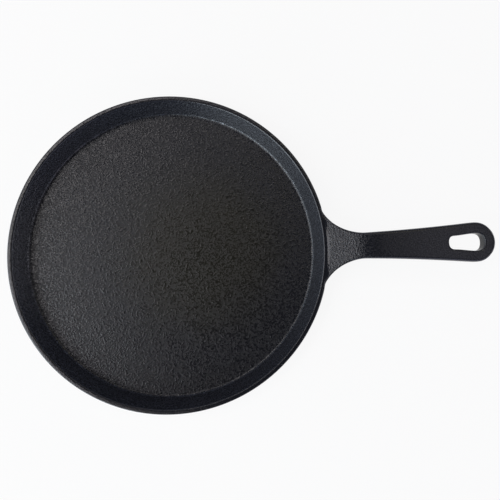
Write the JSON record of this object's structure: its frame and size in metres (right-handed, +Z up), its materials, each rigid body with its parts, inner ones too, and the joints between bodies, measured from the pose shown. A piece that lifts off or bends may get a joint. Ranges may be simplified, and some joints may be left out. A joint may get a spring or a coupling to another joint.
{
  "type": "round griddle",
  "caption": "Shallow round cast-iron griddle: flat cooking floor, low sloped wall with a rounded lip, and a long flat handle that flares from the wall and ends in a tapered hanging slot.",
  "frame": {"origin": "on the pan's axis, in the plane of the flat base that stands on the hob", "axes": "+X from the pan's axis along the handle towards its tip, +Z up out of the cooking floor, +Y across the handle"},
  "size_m": [0.4039, 0.267, 0.0343],
  "materials": {
    "seasoned_iron": "black seasoned sand-cast surface, fine pebbled grain, satin sheen"
  },
  "bodies": {
    "root": {"cooking_plate": "seasoned_iron", "rim_wall": "seasoned_iron", "handle": "seasoned_iron"}
  },
  "joints": []
}
